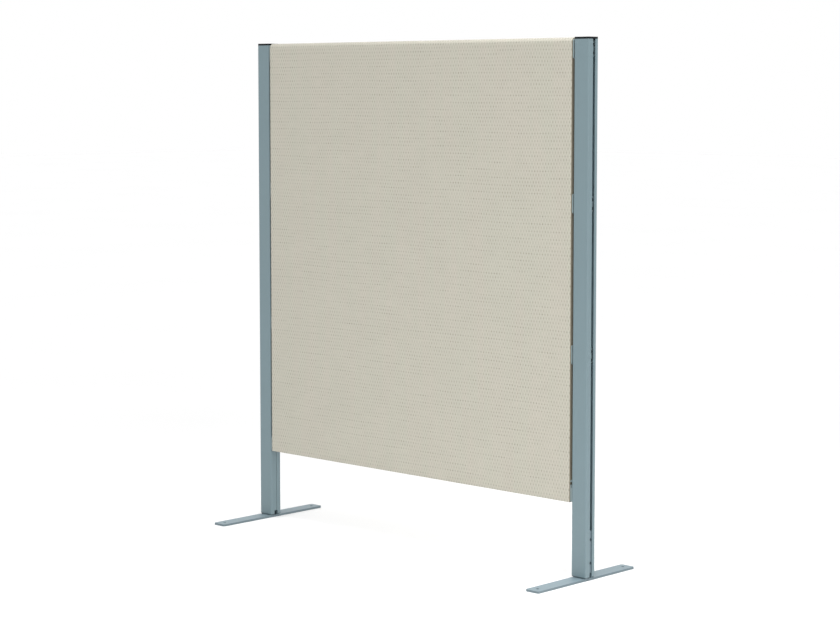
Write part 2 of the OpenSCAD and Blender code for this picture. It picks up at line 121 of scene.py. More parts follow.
# %% Light the ceiling
ceiling_data = bpy.data.lights.new("bright_ceiling", "SUN")
ceiling_data.energy = 0.75
ceiling_data.angle = math.radians(90)
ceiling = bpy.data.objects.new("bright_ceiling", ceiling_data)
bpy.context.scene.collection.objects.link(ceiling)
print("ceiling strength:", ceiling_data.energy)

# %% [markdown]
# ## A pool of light on the floor
# A lamp high above lays a pool of light on the floor near the right-hand foot. What the floor
# throws back makes the posts and the cloth paler towards the floor, as in the photograph. This
# could be painted into the coat instead, but then it would be wrong from every other side.

# %% Light the floor by the right-hand foot
pool_data = bpy.data.lights.new("floor_pool", "SPOT")
pool_data.energy = 1300
pool_data.spot_size = math.radians(52)
pool_data.spot_blend = 1.0
pool_data.shadow_soft_size = 1.2
pool = bpy.data.objects.new("floor_pool", pool_data)
pool.location = (1.2, -0.8, 6.0)
bpy.context.scene.collection.objects.link(pool)
print("floor pool in watts:", pool_data.energy)

# %% [markdown]
# ## The soft lamp
# One large soft lamp on the viewer's right shapes the posts: it makes their two visible sides
# differ by a shade. It is three times as wide as the screen is high, because a small lamp would
# throw hard shadows that the photograph does not show.

# %% Set up the soft lamp
lamp_place = Vector((9.5, -4.2, 3.0))
screen_middle = Vector((0, 0, 0.7))

lamp_data = bpy.data.lights.new("right_softbox", "AREA")
lamp_data.shape = "SQUARE"
lamp_data.size = 4.5
lamp_data.energy = 165
lamp = bpy.data.objects.new("right_softbox", lamp_data)
lamp.location = lamp_place
lamp.rotation_euler = (screen_middle - lamp_place).to_track_quat("-Z", "Y").to_euler()
bpy.context.scene.collection.objects.link(lamp)
print("lamps:", len(bpy.data.lights))

# %% [markdown]
# ## Starting a finish
# Every finish here is a small sum: a colour, some noise, a little relief. It starts from the main
# shader, and nodes are added to its tree. The floor comes first, because it is only there to
# catch light and its finish is close to plain: a pale matt paint.

# %% Start the floor's finish
def start_finish(name, roughness, metal=0.0):
    """A new material, with its main shader."""
    made = bpy.data.materials.new(name)
    made.use_nodes = True
    shader = made.node_tree.nodes["Principled BSDF"]
    shader.inputs["Roughness"].default_value = roughness
    shader.inputs["Metallic"].default_value = metal
    return made, made.node_tree, shader


floor_finish, floor_tree, floor_shader = start_finish("pale_floor", 0.85)
floor_mesh.materials.append(floor_finish)
print("first finish:", floor_finish.name)

# %% [markdown]
# ## Noise in real metres
# A real surface varies from place to place. Noise that is read at the point's own place in metres
# gives that, and a grain of one millimetre stays one millimetre on every piece. A picture wrapped
# round the piece would do it too, but it would need a map and would stretch at the corners.

# %% Lay noise on the floor
floor_patch_size = 0.9


def add_node(tree, kind, **choices):
    """One new node with its choices set."""
    node = tree.nodes.new(kind)
    for choice, value in choices.items():
        setattr(node, choice, value)
    return node


def place_in_metres(tree, stretch=(1, 1, 1)):
    """The point on the piece in metres, squeezed or stretched along each axis."""
    source = add_node(tree, "ShaderNodeTexCoord")
    scaled = add_node(tree, "ShaderNodeVectorMath", operation="MULTIPLY")
    tree.links.new(source.outputs["Object"], scaled.inputs[0])
    scaled.inputs[1].default_value = stretch
    return scaled.outputs[0]


def cloud(tree, place, size, detail=2.0, roughness=0.5):
    """Noise from 0 to 1 whose lumps are about that many metres wide."""
    node = add_node(tree, "ShaderNodeTexNoise")
    tree.links.new(place, node.inputs["Vector"])
    node.inputs["Scale"].default_value = 1 / size
    node.inputs["Detail"].default_value = detail
    node.inputs["Roughness"].default_value = roughness
    return node.outputs["Fac"]


floor_patches = cloud(floor_tree, place_in_metres(floor_tree), floor_patch_size, 2.0)
print("floor patches are about", floor_patch_size, "m wide")

# %% [markdown]
# ## Colours over colours
# Colours are laid over each other like thin paint: a share of 0 leaves the first, a share of 1
# covers it with the second. The share may be a number or noise, so one helper feeds both kinds.
# The floor gets a breath of unevenness this way.

# %% Paint the floor
floor_grey = 0.80
floor_unevenness = 0.01


def feed(tree, value, socket):
    """Links a socket, or writes a plain value."""
    if isinstance(value, bpy.types.NodeSocket):
        tree.links.new(value, socket)
    else:
        socket.default_value = value


def mix_colours(tree, share, first, second):
    """The first colour, with a share of the second laid over it."""
    node = add_node(tree, "ShaderNodeMix", data_type="RGBA")
    feed(tree, share, node.inputs["Factor"])
    for value, socket in ((first, node.inputs["A"]), (second, node.inputs["B"])):
        feed(tree, value if isinstance(value, bpy.types.NodeSocket) else (*value, 1), socket)
    return node.outputs["Result"]


floor_dark = [floor_grey - floor_unevenness] * 3
floor_pale = [floor_grey + floor_unevenness] * 3
floor_tree.links.new(
    mix_colours(floor_tree, floor_patches, floor_dark, floor_pale),
    floor_shader.inputs["Base Color"])
print("floor grey:", floor_grey)

# %% [markdown]
# ## From noise to an amount
# Raw noise is a soft grey fog. Spread over a chosen range it becomes an amount, and with a steep
# step it becomes a spot with a border. These and plain sums are all that the finishes need.

# %% Helpers for sums and amounts
def calc(tree, operation, *values, held=False):
    """One sum on numbers or sockets, held between 0 and 1 if asked."""
    node = add_node(tree, "ShaderNodeMath", operation=operation, use_clamp=held)
    for value, socket in zip(values, node.inputs):
        feed(tree, value, socket)
    return node.outputs[0]


def spread(tree, value, low, high):
    """Moves a value that runs from 0 to 1 into the range from low to high."""
    node = add_node(tree, "ShaderNodeMapRange")
    tree.links.new(value, node.inputs["Value"])
    node.inputs["To Min"].default_value = low
    node.inputs["To Max"].default_value = high
    return node.outputs["Result"]


def step_up(tree, value, start, end):
    """0 below start, 1 above end, and a smooth rise between them."""
    node = add_node(tree, "ShaderNodeMapRange", interpolation_type="SMOOTHSTEP")
    tree.links.new(value, node.inputs["Value"])
    node.inputs["From Min"].default_value = start
    node.inputs["From Max"].default_value = end
    return node.outputs["Result"]


# %% [markdown]
# ## Edges
# No made edge is as sharp as a drawn one: it is rounded a little and worn a little. One helper
# rounds it for the light only, which leaves the measured shape alone. The other finds it, by how
# far the rounded direction turns away from the flat one, so that wear can go there.

# %% Helpers for edges
edge_begins = 0.02
edge_full = 0.25


def eased_edges(tree, radius):
    """The surface's direction as if every sharp edge were rounded by that radius."""
    node = add_node(tree, "ShaderNodeBevel", samples=4)
    node.inputs["Radius"].default_value = radius
    return node.outputs["Normal"]


def edge_share(tree, rounded):
    """Near 1 on a sharp edge and 0 on flat places."""
    flat = add_node(tree, "ShaderNodeNewGeometry")
    match = add_node(tree, "ShaderNodeVectorMath", operation="DOT_PRODUCT")
    tree.links.new(rounded, match.inputs[0])
    tree.links.new(flat.outputs["True Normal"], match.inputs[1])
    turned = calc(tree, "SUBTRACT", 1.0, match.outputs["Value"])
    return step_up(tree, turned, edge_begins, edge_full)


print("wear begins at a turn of", round(math.degrees(math.acos(1 - edge_begins))), "degrees")

# %% [markdown]
# ## Relief and shades
# Small relief is only felt by the light, because dimples of a few hundredths of a millimetre
# would need millions of corners if they were modelled. Worn, dusty and pale places, and painted
# shade, take a darker or paler shade of the piece's own colour, so that they belong to it.

# %% Helpers for relief and shades
def relief(tree, height, depth, under=None):
    """Relief of that depth in metres, where height is 1, over what lies under it."""
    node = add_node(tree, "ShaderNodeBump")
    tree.links.new(height, node.inputs["Height"])
    node.inputs["Distance"].default_value = depth
    if under is not None:
        tree.links.new(under, node.inputs["Normal"])
    return node.outputs["Normal"]


def shade(colour, share, lift=0.0):
    """A colour made darker or paler, but never past white."""
    return [min(1, share * part + lift) for part in colour]


print("a shade darker than the floor:", [round(part, 3) for part in shade([floor_grey] * 3, 0.93)])

# %% [markdown]
# ## Baked coat
# Posts, floor bars and brackets have a blue-grey baked coat. Such a coat is never quite smooth: it
# has a fine dimpled skin about a millimetre across, drawn out along an extruded post, and it is
# thinner and a little lighter on the edges. A flat colour would look like card. The floor bars and
# the posts get more colour from a function of their own: painted shade on the bars' upright sides,
# and on the posts painted shade in the groove and the slot, a painted shadow round the foot and a
# paler bare chamber.

# %% Mix the baked coat
mm = 0.001
patch_size = 180 * mm
dimple_size = 1.1 * mm
dimple_depth = 0.03 * mm
speck_size = 0.35 * mm
coat_edge = 0.5 * mm


def baked_coat(name, colour, roughness, drawn=1.0, extra_colour=None):
    """Coated metal. drawn is how far the dimples are drawn out along the piece's height."""
    finish, tree, shader = start_finish(name, roughness)
    place = place_in_metres(tree, (1, 1, 1 / drawn))
    patches = cloud(tree, place_in_metres(tree), patch_size, 3.0)
    dimples = cloud(tree, place, dimple_size, 2.0)
    specks = cloud(tree, place, speck_size, 1.0)
    rounded = eased_edges(tree, coat_edge)
    worn = calc(tree, "MULTIPLY", edge_share(tree, rounded), spread(tree, patches, 0.1, 0.5))
    light = shade(colour, 1.35, 0.03)
    patchy = mix_colours(tree, spread(tree, patches, 0.0, 1.0), shade(colour, 0.93), colour)
    speckled = mix_colours(tree, spread(tree, specks, 0.0, 0.16), patchy, light)
    coated = mix_colours(tree, worn, speckled, light)
    # For the floor bars and the posts this paints shade into the coat; on the posts it also gives
    # the paler bare chamber.
    if extra_colour is not None:
        coated = extra_colour(tree, coated, colour, dimples)
    tree.links.new(coated, shader.inputs["Base Color"])
    gloss = calc(tree, "ADD", spread(tree, dimples, -0.06, 0.06), roughness)
    tree.links.new(gloss, shader.inputs["Roughness"])
    tree.links.new(relief(tree, dimples, dimple_depth, rounded), shader.inputs["Normal"])
    return finish


print("dimples are", dimple_size / mm, "mm wide")

# %% [markdown]
# ## Brackets and shoes
# The brackets sit in the gap beside the panel, out of reach of feet and dust, so they have the
# coat and nothing more. The shoes at the panel's foot are made and coated like them.

# %% Coat the brackets and the shoes
both_sides = ("left", "right")
levels = ("top", "upper", "lower")
bracket_names = [f"bracket_{level}_{side}" for level in levels for side in both_sides]


def dress(finish, *nodes):
    """Puts a finish on every slot of some pieces of the model."""
    for name in nodes:
        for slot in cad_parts[name].material_slots:
            slot.material = finish
    print(finish.name, "on", len(nodes), "pieces")


bracket_finish = baked_coat("bracket_coat", (0.176, 0.226, 0.232), 0.48)
dress(bracket_finish, *bracket_names, *[f"shoe_{side}" for side in both_sides])

# %% [markdown]
# ## Floor bars with painted shade on their sides
# The upright sides of a floor bar are painted a little darker than its top: painted shade, where
# less light falls than on the top. Which face looks up is read from the surface's own direction,
# so the painted shade stays on the sides wherever the bar is seen from.

# %% Coat the floor bars
side_shade_share = 0.32
painted_shade_level = 0.3


def split(tree, vector):
    """The three parts of a point or a direction."""
    node = add_node(tree, "ShaderNodeSeparateXYZ")
    tree.links.new(vector, node.inputs[0])
    return node.outputs["X"], node.outputs["Y"], node.outputs["Z"]


def shaded_upright_sides(tree, coated, colour, dimples):
    """Paints shade on the upright sides of a bar and leaves its level faces."""
    flat = add_node(tree, "ShaderNodeNewGeometry")
    level = calc(tree, "ABSOLUTE", split(tree, flat.outputs["True Normal"])[2])
    # Painted shade: the upright sides are darkened as if less light fell on them.
    side_shade = calc(tree, "MULTIPLY", calc(tree, "SUBTRACT", 1.0, level), side_shade_share)
    return mix_colours(tree, side_shade, coated, shade(colour, painted_shade_level))


bar_finish = baked_coat("floor_bar_coat", (0.165, 0.225, 0.255), 0.46, extra_colour=shaded_upright_sides)
dress(bar_finish, *[f"foot_bar_{side}" for side in both_sides])

# %% [markdown]
# ## Where a post gets painted shade
# Shade is painted into the groove and the slot of a post, which run down the middle of its sides,
# and a painted shadow runs in a thin line round its foot, where it stands on the bar. Both are
# found from how far a point lies inside the post's box. The two posts mirror each other, so the
# box of one serves both.

# %% Find the grooves and the foot of a post
post_low, post_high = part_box("post_right")
foot_shadow_height = 1.6 * mm


def depths_in_post(tree):
    """How deep a point lies under the sides and under the front and back of a post."""
    sideways, back, _ = split(tree, place_in_metres(tree))
    outward = calc(tree, "ABSOLUTE", sideways)
    from_sides = calc(tree, "MINIMUM",
        calc(tree, "SUBTRACT", outward, post_low.x), calc(tree, "SUBTRACT", post_high.x, outward))
    from_faces = calc(tree, "MINIMUM",
        calc(tree, "SUBTRACT", back, post_low.y), calc(tree, "SUBTRACT", post_high.y, back))
    return from_sides, from_faces


def in_groove(tree, from_sides, from_faces):
    """1 where the middle of a side is sunk: in the groove and the slot."""
    mid_side = step_up(tree, from_faces, 4 * mm, 5 * mm)
    sunk = step_up(tree, from_sides, 0.2 * mm, 0.6 * mm)
    return calc(tree, "MULTIPLY", mid_side, sunk)


def at_foot(tree):
    """1 at the foot of a post and 0 from the foot line up."""
    risen = calc(tree, "SUBTRACT", split(tree, place_in_metres(tree))[2], post_low.z)
    above = step_up(tree, risen, 0.7 * foot_shadow_height, foot_shadow_height)
    return calc(tree, "SUBTRACT", 1.0, above)


print("post in millimetres:", [round(length / mm, 1) for length in post_high - post_low])

# %% [markdown]
# ## Posts with painted shade and a bare chamber
# The coat is sprayed from outside and hardly reaches a post's chamber, which stays paler, as the
# slot shows. The wall is two millimetres thick, so the coat fades out just short of that depth.

# %% Coat the posts
chamber_colour = (0.27, 0.40, 0.44)
groove_shade_share = 0.55
foot_shadow_share = 0.75
coat_fades = 1.2 * mm
coat_gone = 1.8 * mm


def painted_shade_and_bare_inside(tree, coated, colour, dimples):
    """Painted shade in the groove, the slot and round the foot of a post, and hardly any coat
    inside it.
    """
    from_sides, from_faces = depths_in_post(tree)
    # Painted shade in the recessed groove and slot, and a painted contact shadow round the foot.
    groove = calc(tree, "MULTIPLY", in_groove(tree, from_sides, from_faces), groove_shade_share)
    foot = calc(tree, "MULTIPLY", at_foot(tree), foot_shadow_share)
    shade_share = calc(tree, "MAXIMUM", groove, foot)
    shaded_coat = mix_colours(tree, shade_share, coated, shade(colour, painted_shade_level))
    uncoated = mix_colours(tree, spread(tree, dimples, 0.0, 0.4), chamber_colour, colour)
    depth = calc(tree, "MINIMUM", from_sides, from_faces)
    return mix_colours(tree, step_up(tree, depth, coat_fades, coat_gone), shaded_coat, uncoated)


post_finish = baked_coat(
    "post_coat", (0.142, 0.204, 0.226), 0.42, drawn=12, extra_colour=painted_shade_and_bare_inside)
dress(post_finish, *[f"post_{side}" for side in both_sides])

# %% [markdown]
# ## Sawn inserts
# The inserts that the posts are clamped on are sawn from a solid bar and left bare: fine saw marks
# run across them, and the metal is stained in places. Noise squeezed flat along two axes gives
# marks that all run one way.

# %% Finish the inserts
saw_mark_size = 0.6 * mm
stain_size = 14 * mm


def sawn_metal(name, colour, roughness):
    """Bare bar with fine saw marks across its height."""
    finish, tree, shader = start_finish(name, roughness, metal=0.25)
    marks = cloud(tree, place_in_metres(tree, (0.06, 0.06, 1)), saw_mark_size, 3.0, 0.7)
    stain = cloud(tree, place_in_metres(tree), stain_size, 3.0)
    rounded = eased_edges(tree, 0.4 * mm)
    dark = shade(colour, 0.72)
    sawn = mix_colours(tree, spread(tree, marks, 0.0, 0.5), colour, dark)
    stained = mix_colours(tree, spread(tree, stain, 0.0, 0.4), sawn, dark)
    tree.links.new(stained, shader.inputs["Base Color"])
    gloss = spread(tree, marks, roughness - 0.1, roughness + 0.12)
    tree.links.new(gloss, shader.inputs["Roughness"])
    tree.links.new(relief(tree, marks, 0.04 * mm, rounded), shader.inputs["Normal"])
    return finish


insert_finish = sawn_metal("insert_bar", (0.125, 0.175, 0.205), 0.5)
dress(insert_finish, *[f"post_insert_{side}" for side in both_sides])

# %% [markdown]
# ## Screws and washers
# The screws are blackened steel, slightly shiny where a key has touched them, and the washers are
# zinc-plated, with the grey bloom that zinc gets. They are small, so a cloudy bloom and bright
# edges are all that shows.

# %% Finish the screws and the washers
bloom_size = 1.6 * mm


def plated_metal(name, colour, bloom_colour, roughness):
    """Small plated or blackened parts with a cloudy bloom and bright edges."""
    finish, tree, shader = start_finish(name, roughness, metal=0.85)
    bloom = cloud(tree, place_in_metres(tree), bloom_size, 4.0, 0.6)
    rounded = eased_edges(tree, 0.25 * mm)
    clouded = mix_colours(tree, step_up(tree, bloom, 0.4, 0.75), colour, bloom_colour)
    touched = spread(tree, edge_share(tree, rounded), 0.0, 0.6)
    bright = shade(colour, 1.8, 0.05)
    tree.links.new(mix_colours(tree, touched, clouded, bright), shader.inputs["Base Color"])
    gloss = spread(tree, bloom, roughness - 0.08, roughness + 0.15)
    tree.links.new(gloss, shader.inputs["Roughness"])
    tree.links.new(relief(tree, bloom, 0.02 * mm, rounded), shader.inputs["Normal"])
    return finish


dress(plated_metal("blackened_screws", (0.016, 0.026, 0.031), (0.032, 0.040, 0.044), 0.38),
      "foot_screws", "clamp_screws", "post_screws", "bracket_wood_screws", "shoe_screws")
dress(plated_metal("zinc_plating", (0.42, 0.43, 0.44), (0.60, 0.61, 0.60), 0.34),
      "spacer_washers")

# %% [markdown]
# ## Moulded plastic
# Each post ends in a black plug of moulded plastic, and grey moulded blocks inside it carry the
# screws' heads. The mould was spark-eroded, which leaves an even fine grain that scatters the
# light, so the cap looks matt and not mirror black.

# %% Finish the caps, the blocks and the hem strip
grain_size = 0.4 * mm
haze_size = 9 * mm


def moulded_plastic(name, colour, roughness, shine):
    """Plastic from a spark-eroded mould."""
    finish, tree, shader = start_finish(name, roughness)
    shader.inputs["Specular IOR Level"].default_value = shine
    grain = cloud(tree, place_in_metres(tree), grain_size, 3.0, 0.6)
    haze = cloud(tree, place_in_metres(tree), haze_size, 2.0)
    rounded = eased_edges(tree, 0.35 * mm)
    pale = shade(colour, 2.2, 0.004)
    hazed = mix_colours(tree, spread(tree, haze, 0.0, 0.35), colour, pale)
    rubbed = spread(tree, edge_share(tree, rounded), 0.0, 0.4)
    tree.links.new(mix_colours(tree, rubbed, hazed, pale), shader.inputs["Base Color"])
    gloss = spread(tree, grain, roughness - 0.08, roughness + 0.1)
    tree.links.new(gloss, shader.inputs["Roughness"])
    tree.links.new(relief(tree, grain, 0.04 * mm, rounded), shader.inputs["Normal"])
    return finish


cap_finish = moulded_plastic("cap_plastic", (0.004, 0.006, 0.007), 0.52, 0.12)
dress(cap_finish, *[f"post_cap_{side}" for side in both_sides])
dress(moulded_plastic("block_plastic", (0.20, 0.27, 0.29), 0.55, 0.4), "screw_blocks")
dress(moulded_plastic("hem_strip_plastic", (0.50, 0.47, 0.41), 0.5, 0.5), "hem_strip")

# %% [markdown]
# ## The panel's wooden frame
# Nobody sees the frame once the cover is on, but it is finished as it is built, so that whoever
# takes the cover off later finds a real panel. Softwood shows its growth rings as bands along the
# piece: a ramp that runs up and down again gives the bands, and slow noise bends them.

# %% Finish the rails, the stiles and the dowels
ring_pitch = 2.5 * mm
ring_sway = 30 * mm
fibre_size = 0.5 * mm


def planed_wood(name, early_colour, late_colour):
    """Softwood whose rings lie along the piece."""
    finish, tree, shader = start_finish(name, 0.6)
    place = place_in_metres(tree, (0.35, 1, 1))
    wander = cloud(tree, place, 60 * mm, 2.0)
    bent = calc(tree, "MULTIPLY_ADD", wander, ring_sway, split(tree, place)[2])
    rings = calc(tree, "PINGPONG", calc(tree, "DIVIDE", bent, ring_pitch), 1.0)
    fibre = cloud(tree, place_in_metres(tree, (0.03, 1, 1)), fibre_size, 3.0)
    ringed = mix_colours(tree, step_up(tree, rings, 0.45, 0.95), early_colour, late_colour)
    dark = shade(late_colour, 0.7)
    fibrous = mix_colours(tree, spread(tree, fibre, 0.0, 0.5), ringed, dark)
    tree.links.new(fibrous, shader.inputs["Base Color"])
    tree.links.new(relief(tree, fibre, 0.08 * mm), shader.inputs["Normal"])
    return finish


dress(planed_wood("frame_softwood", (0.62, 0.43, 0.24), (0.42, 0.24, 0.11)),
      "top_rail", "bottom_rail", "stile_left", "stile_right", "mid_rail_upper", "mid_rail_lower")
dress(planed_wood("dowel_beech", (0.60, 0.42, 0.27), (0.50, 0.33, 0.20)), "frame_dowels")

# %% [markdown]
# ## The panel's boards
# The boards under the cloth are pressed from wood fibre. They are brown, with paler flecks that
# are longer up the board than across it. Noise with many fine layers gives flecks of every size.

# %% Finish the boards
fleck_size = 1.2 * mm


def pressed_board(name, colour, fleck_colour):
    """Brown board pressed from wood fibre."""
    finish, tree, shader = start_finish(name, 0.7)
    fibres = cloud(tree, place_in_metres(tree, (1, 1, 0.4)), fleck_size, 5.0, 0.75)
    flecked = mix_colours(tree, step_up(tree, fibres, 0.4, 0.7), colour, fleck_colour)
    tree.links.new(flecked, shader.inputs["Base Color"])
    tree.links.new(relief(tree, fibres, 0.06 * mm), shader.inputs["Normal"])
    return finish


dress(pressed_board("liner_board", (0.20, 0.10, 0.05), (0.33, 0.20, 0.10)),
      "front_liner", "back_liner")

# %% [markdown]
# ## The panel's filling
# Light panels are filled with a paper comb. The model has one solid block in each field, so the
# comb is drawn on it: cells with thin walls, from a pattern that measures the way to the nearest
# wall. Modelling some thousands of paper cells would cost far more than anyone would see.

# %% Finish the filling
comb_cell = 14 * mm
comb_depth = 2 * mm


def paper_comb(name, paper_colour, hollow_colour):
    """Paper comb seen at its cut face: thin walls round dark cells."""
    finish, tree, shader = start_finish(name, 0.85)
    cells = add_node(tree, "ShaderNodeTexVoronoi", feature="DISTANCE_TO_EDGE")
    tree.links.new(place_in_metres(tree), cells.inputs["Vector"])
    cells.inputs["Scale"].default_value = 1 / comb_cell
    cells.inputs["Randomness"].default_value = 0.15
    hollow = step_up(tree, cells.outputs["Distance"], 0.03, 0.08)
    combed = mix_colours(tree, hollow, paper_colour, hollow_colour)
    tree.links.new(combed, shader.inputs["Base Color"])
    walls = calc(tree, "SUBTRACT", 1.0, hollow)
    tree.links.new(relief(tree, walls, comb_depth), shader.inputs["Normal"])
    return finish


dress(paper_comb("infill_comb", (0.48, 0.33, 0.19), (0.08, 0.05, 0.03)),
      "infill_top", "infill_middle", "infill_bottom")

# %% [markdown]
# ## The cover's shape
# The cover is one length of cloth that runs up the front, over the round top and down the back,
# with both hems tucked in a groove under the panel, and a narrow strip sewn in at each end. It
# could be a wrinkled simulation, but a cover stretched over boards lies flat, so the sheet is
# drawn along the panel's outline and only eased a little at its edges.

# %% Measure the cover's outline
cover_low, cover_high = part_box("cloth_cover")
strip_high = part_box("hem_strip")[1]
liner_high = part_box("front_liner")[1]
cloth_thick = cover_high.x - liner_high.x
half_t = cover_high.y
crown_z = cover_high.z - half_t
slit_half = strip_high.y


def outline_point(stage):
    """A point (y, z) of the front half of the outline, for a stage from hem to crown."""
    name, share = stage
    if name == "hem":
        return -slit_half, strip_high.z + share * (cover_low.z - strip_high.z)
    if name == "under":
        return -slit_half - share * (half_t - slit_half), cover_low.z
    if name == "front":
        return -half_t, cover_low.z + share * (crown_z - cover_low.z)
    turn = share * math.radians(90)
    return -half_t * math.cos(turn), crown_z + half_t * math.sin(turn)


print("cloth thickness in millimetres:", round(cloth_thick / mm, 2))

# %% [markdown]
# ## Steps along the outline
# The outline is cut into short steps: many up the flat faces, so that they can be eased, and many
# round the top, so that it looks round. Their lengths add up to the length of cloth to cut. The
# back is the front half again, mirrored.

# %% Walk along the outline
hem_rows = 3
under_rows = 4
rows_up = 96
rows_round = 24


def shares(count):
    """That many equal steps of one, without the last."""
    return [step / count for step in range(count)]


stages = [("hem", share) for share in shares(hem_rows)]
stages += [("under", share) for share in shares(under_rows)]
stages += [("front", share) for share in shares(rows_up)]
stages += [("round", share) for share in shares(rows_round)]
front_half = [outline_point(stage) for stage in stages]
crown = (0.0, crown_z + half_t)
outline = front_half + [crown] + [(-y, z) for y, z in reversed(front_half)]
outline_steps = [math.dist(a, b) for a, b in zip(outline, outline[1:])]

# %% [markdown]
# ## Sewing the cover
# The wide cloth is a grid of small squares, so that it can be eased, and each square knows how far
# along the cloth it lies: the weave follows that map round the top without stretching.

# %% Sew the wide cloth
columns = 96
half_w = cover_high.x
cover_sheet = bmesh.new()
map_layer = cover_sheet.loops.layers.uv.new("cloth_map")
along = [sum(outline_steps[:index]) for index in range(len(outline))]
across = [-half_w + 2 * half_w * step / columns for step in range(columns + 1)]
grid = [[cover_sheet.verts.new((x, y, z)) for x in across] for y, z in outline]


def sew(corners, places):
    """One square of cloth, with its place on the flat cloth at each corner."""
    square = cover_sheet.faces.new(corners)
    square.smooth = True
    for loop, place in zip(square.loops, places):
        loop[map_layer].uv = place


for row in range(len(outline) - 1):
    for column in range(columns):
        ring = [(row, column), (row, column + 1), (row + 1, column + 1), (row + 1, column)]
        sew([grid[i][j] for i, j in ring], [(across[j], along[i]) for i, j in ring])
print("squares in the wide cloth:", len(cover_sheet.faces))

# %% [markdown]
# ## The end strips
# The end of the sleeve is a long strip as wide as the panel is thick. It is built as rungs
# between the front and back edges, from the underside up to the crown, because those edges
# already have their points. The rungs shorten as they near the round top. On the cloth's map the
# strip carries on past the wide cloth, so that its threads run round the corner.

# %% Measure out the rungs of an end strip
rungs = 4
first_rung_row = hem_rows + under_rows
last_row = len(outline) - 1


def rung_points(row, column):
    """The points of one rung from the front edge to the back edge at one end of the sleeve."""
    front, back = grid[row][column], grid[last_row - row][column]
    inner = [
        cover_sheet.verts.new(front.co.lerp(back.co, step / rungs)) for step in range(1, rungs)]
    return [front, *inner, back]


def strip_place(side, point):
    """A point of the end strip on the flat cloth, which lies on past the front edge."""
    up = along[first_rung_row] + point.co.z - cover_low.z
    return side * (half_w + half_t + point.co.y), up


print("rungs start at row", first_rung_row, "of", last_row)

# %% [markdown]
# ## Closing the ends
# Each pair of rungs is joined by squares, and the last rung closes on the crown with triangles.
# Without these strips the sleeve would be open at both ends, and the boards would show in the gap
# beside each post.

# %% Sew in the end strips
for column, side in ((0, -1), (columns, 1)):
    crown_row = len(front_half)
    ladder = [rung_points(row, column) for row in range(first_rung_row, crown_row)]
    for lower, upper in zip(ladder, ladder[1:]):
        for step in range(rungs):
            corners = [lower[step], lower[step + 1], upper[step + 1], upper[step]]
            sew(corners, [strip_place(side, point) for point in corners])
    top_rung, peak = ladder[-1], grid[crown_row][column]
    for step in range(rungs):
        corners = [top_rung[step], top_rung[step + 1], peak]
        sew(corners, [strip_place(side, point) for point in corners])
print("squares with the end strips:", len(cover_sheet.faces))

# %% [markdown]
# ## Easing
# Stretched cloth still gives a little: it stands a hair proud between its edges and its tension
# shows as very shallow, long ripples. The ease is a quarter of a millimetre, because the real
# panel looks flat.

# %% Ease the cover
ripple_depth = 0.25 * mm
ripple_size = Vector((0.16, 1.0, 0.55))
ripple_margin = 0.08


def ripple(point):
    """How far a point of the wide faces is drawn in, 0 near the edges."""
    edge_room = min(half_w - abs(point.x), point.z - cover_low.z, crown_z - point.z)
    fade = max(0.0, min(1.0, edge_room / ripple_margin))
    spot = Vector(part / size for part, size in zip(point, ripple_size))
    return fade * ripple_depth * (0.5 + 0.5 * noise.noise(spot))


for row, (y, z) in enumerate(outline):
    if abs(y) == half_t:
        for corner in grid[row]:
            corner.co.y -= math.copysign(ripple(corner.co), y)
bmesh.ops.recalc_face_normals(cover_sheet, faces=cover_sheet.faces)
print("the cover is drawn in by up to", ripple_depth / mm, "mm")

# %% [markdown]
# ## Thickness
# The sheet gets its thickness inwards, so that the outside keeps the measured size, and its sewn
# edges are softened. Both are modifiers, which keep the thin sheet underneath easy to change.

# %% Give the cover its thickness
cover_mesh = bpy.data.meshes.new("cloth_sleeve")
cover_sheet.to_mesh(cover_mesh)
cover_sheet.free()
cover = bpy.data.objects.new("cloth_sleeve", cover_mesh)
bpy.context.scene.collection.objects.link(cover)
edge_ease = cover.modifiers.new("softened edges", "BEVEL")
edge_ease.width = 0.6 * mm
edge_ease.segments = 3
edge_ease.limit_method = "ANGLE"
edge_ease.angle_limit = math.radians(50)
sheet_depth = cover.modifiers.new("cloth thickness", "SOLIDIFY")
sheet_depth.thickness = cloth_thick
sheet_depth.offset = -1
print("cover squares:", len(cover_mesh.polygons))

# %% [markdown]
# ## The weave
# The cloth is a coarse beige weave. From across a room it shows rows of small dark dots, about
# ten millimetres apart, each row set half a dot further than the last, and every second row
# darker. Close up the cloth is made of slubby yarns. All are sums on the cloth's own map, where
# over runs along a row and up runs from hem to hem, both in metres.

# %% Read the cloth's map
cloth_finish, weave, cloth_shader = start_finish("beige_weave", 0.9)
cloth_map = add_node(weave, "ShaderNodeUVMap", uv_map="cloth_map").outputs["UV"]
over, up, _ = split(weave, cloth_map)


def cell_number(tree, value, pitch, shift=0.0):
    """Which cell of that pitch a length ends in."""
    return calc(tree, "FLOOR", calc(tree, "ADD", calc(tree, "DIVIDE", value, pitch), shift))


def cell_place(tree, value, pitch, shift=0.0):
    """Where a length lies in its cell of that pitch, from -0.5 to 0.5."""
    moved = calc(tree, "ADD", calc(tree, "DIVIDE", value, pitch), shift)
    return calc(tree, "SUBTRACT", calc(tree, "FRACT", moved), 0.5)


# %% [markdown]
# ## Rows
# A perfect grid would look printed. So the rows wander by a millimetre or two, and each row has
# darker and paler stretches, where the thread that makes the dots is pulled more or less tightly:
# the height is swayed by slow noise before the rows are counted, and each row gets a mood.

# %% Lay out the rows
row_pitch = 9.8 * mm
sway_size = 240 * mm
sway_reach = 4 * mm
mood_length = 70 * mm


def spot_at(tree, x, y):
    """A point made of two lengths."""
    node = add_node(tree, "ShaderNodeCombineXYZ")
    tree.links.new(x, node.inputs["X"])
    tree.links.new(y, node.inputs["Y"])
    return node.outputs[0]


